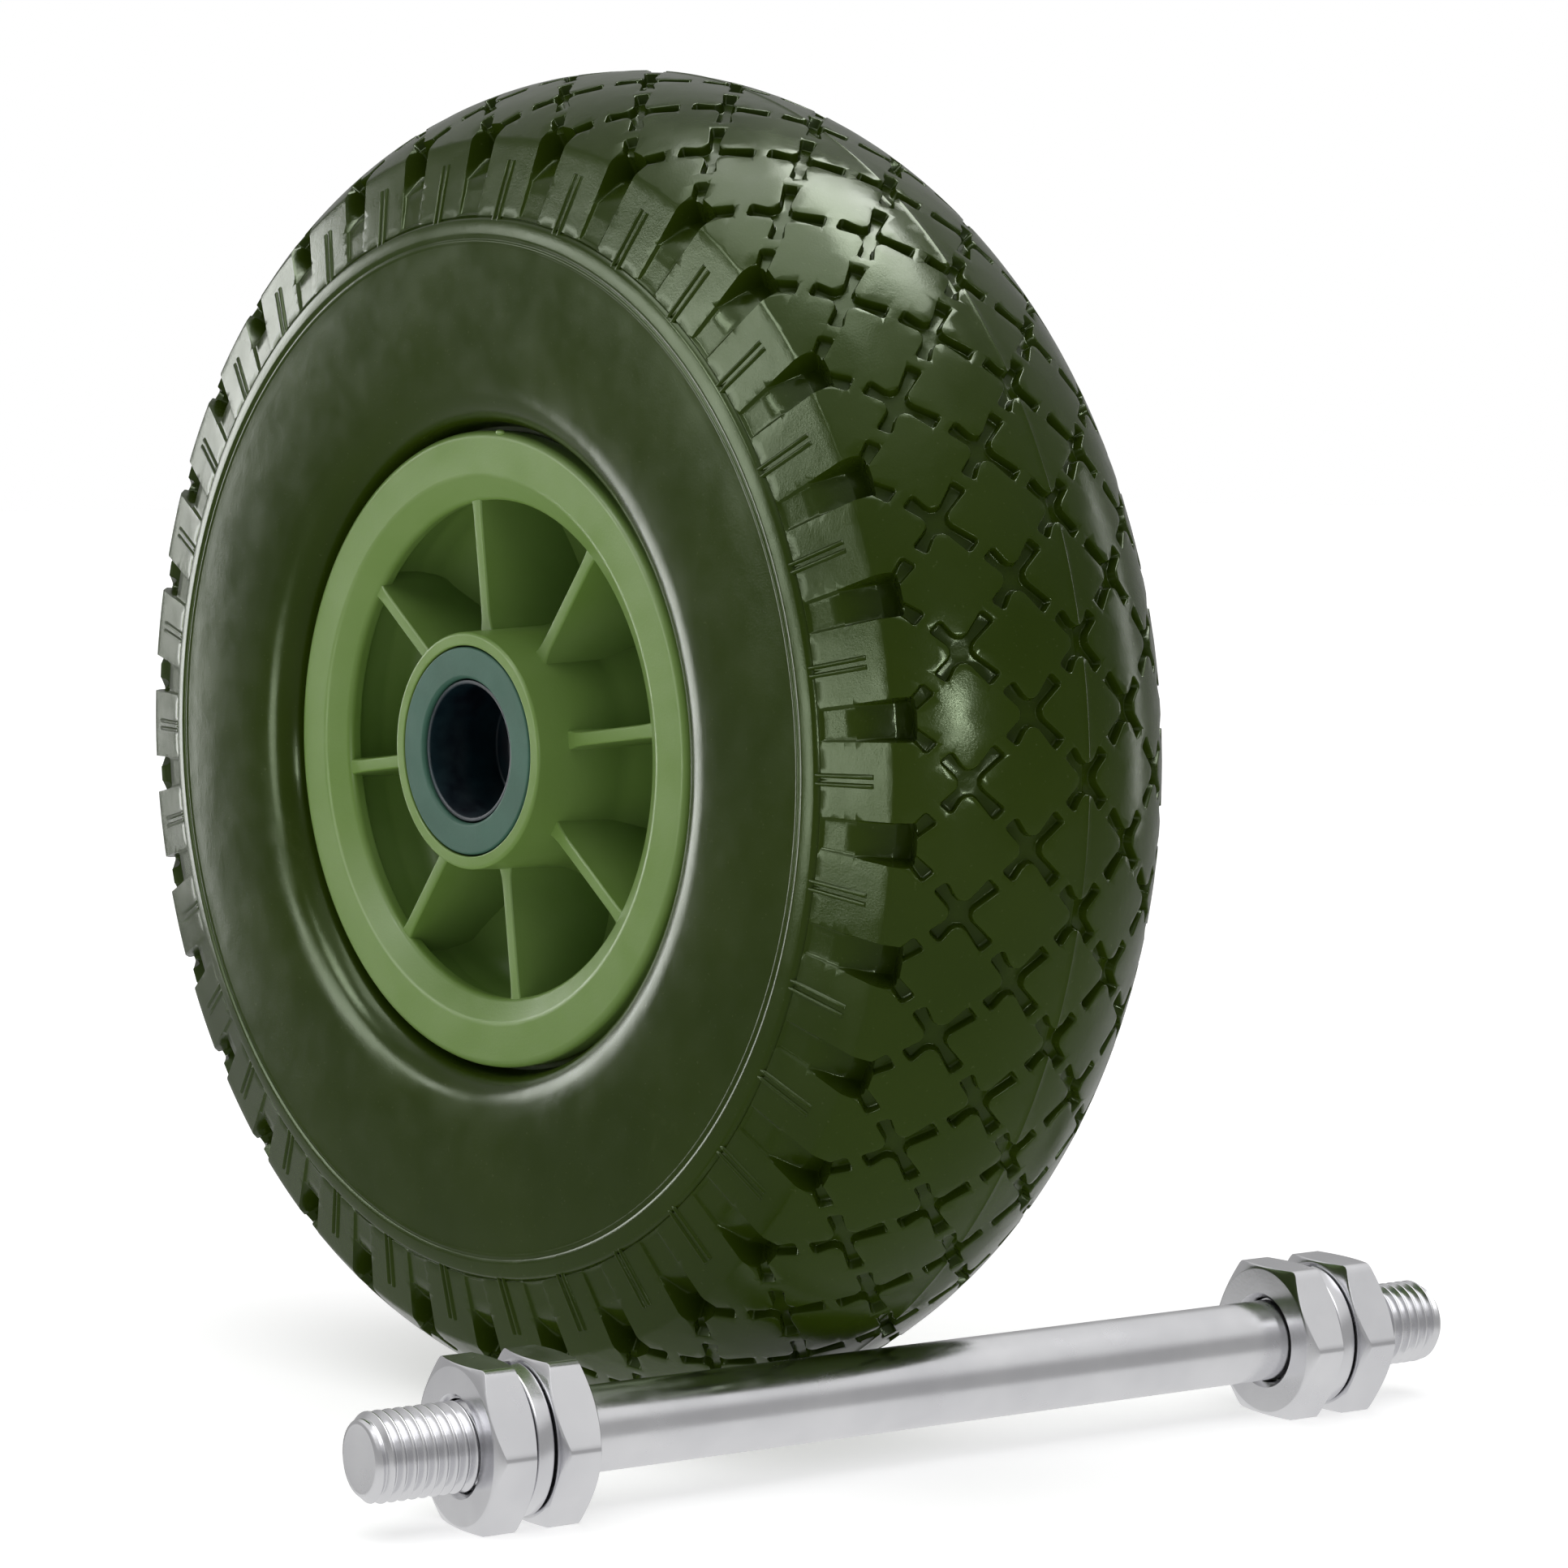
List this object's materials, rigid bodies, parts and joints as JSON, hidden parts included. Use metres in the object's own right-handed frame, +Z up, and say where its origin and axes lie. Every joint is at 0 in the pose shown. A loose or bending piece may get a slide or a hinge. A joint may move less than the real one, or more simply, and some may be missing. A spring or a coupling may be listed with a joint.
{
  "type": "hand truck wheel with axle set",
  "caption": "Solid foam-tyred hand-truck wheel with a diamond tread and a spoked plastic rim, with a loose steel axle, nuts and spring washers.",
  "frame": {"origin": "on the floor, at the middle of the kit's box, straight below the wheel's axis", "axes": "+X from the wheel towards the loose axle set lying before its tread, +Y along the wheel's axis from its front face to its back face, +Z up"},
  "size_m": [0.2596, 0.2336, 0.26],
  "materials": {
    "tyre_foam": "matt, softly sheened moulded polyurethane foam",
    "rim_plastic": "satin moulded plastic",
    "bush_plastic": "matt moulded plastic",
    "sleeve_plastic": "matt moulded plastic",
    "zinc_steel": "bright zinc plate"
  },
  "bodies": {
    "axle": {"axle_rod": "zinc_steel"},
    "wheel": {"tyre": "tyre_foam", "rim": "rim_plastic", "bush_front": "bush_plastic", "bush_rear": "bush_plastic", "axle_sleeve": "sleeve_plastic"},
    "near_inner_nut": {"inner_nut_near": "zinc_steel"},
    "near_washer": {"spring_washer_near": "zinc_steel"},
    "near_outer_nut": {"outer_nut_near": "zinc_steel"},
    "far_inner_nut": {"inner_nut_far": "zinc_steel"},
    "far_washer": {"spring_washer_far": "zinc_steel"},
    "far_outer_nut": {"outer_nut_far": "zinc_steel"}
  },
  "joints": [
    {"name": "wheel_spin", "type": "hinge", "parent": "axle", "child": "wheel", "pos_m": [0, -0.009, 0.13], "axis": [0, 1, 0], "continuous": true},
    {"name": "near_inner_nut_turn", "type": "hinge", "parent": "axle", "child": "near_inner_nut", "pos_m": [0.06713, -0.08079, 0.0145], "axis": [-0.1564, -0.9877, 0], "range_deg": [0, 60]},
    {"name": "near_washer_slide", "type": "slide", "parent": "axle", "child": "near_washer", "axis": [-0.1564, -0.9877, 0], "range_m": [0, 0.0241]},
    {"name": "near_outer_nut_turn", "type": "hinge", "parent": "near_washer", "child": "near_outer_nut", "pos_m": [0.06516, -0.09324, 0.0145], "axis": [-0.1564, -0.9877, 0], "range_deg": [0, 4320]},
    {"name": "far_inner_nut_turn", "type": "hinge", "parent": "axle", "child": "far_inner_nut", "pos_m": [0.09272, 0.08079, 0.0145], "axis": [0.1564, 0.9877, 0], "range_deg": [0, 60]},
    {"name": "far_washer_slide", "type": "slide", "parent": "axle", "child": "far_washer", "axis": [0.1564, 0.9877, 0], "range_m": [0, 0.0241]},
    {"name": "far_outer_nut_turn", "type": "hinge", "parent": "far_washer", "child": "far_outer_nut", "pos_m": [0.09469, 0.09324, 0.0145], "axis": [0.1564, 0.9877, 0], "range_deg": [0, 4320]}
  ],
  "couplings": [
    {"joint": "near_washer_slide", "follows": "near_outer_nut_turn", "m_per_rad": 0.00031831},
    {"joint": "far_washer_slide", "follows": "far_outer_nut_turn", "m_per_rad": 0.00031831}
  ]
}
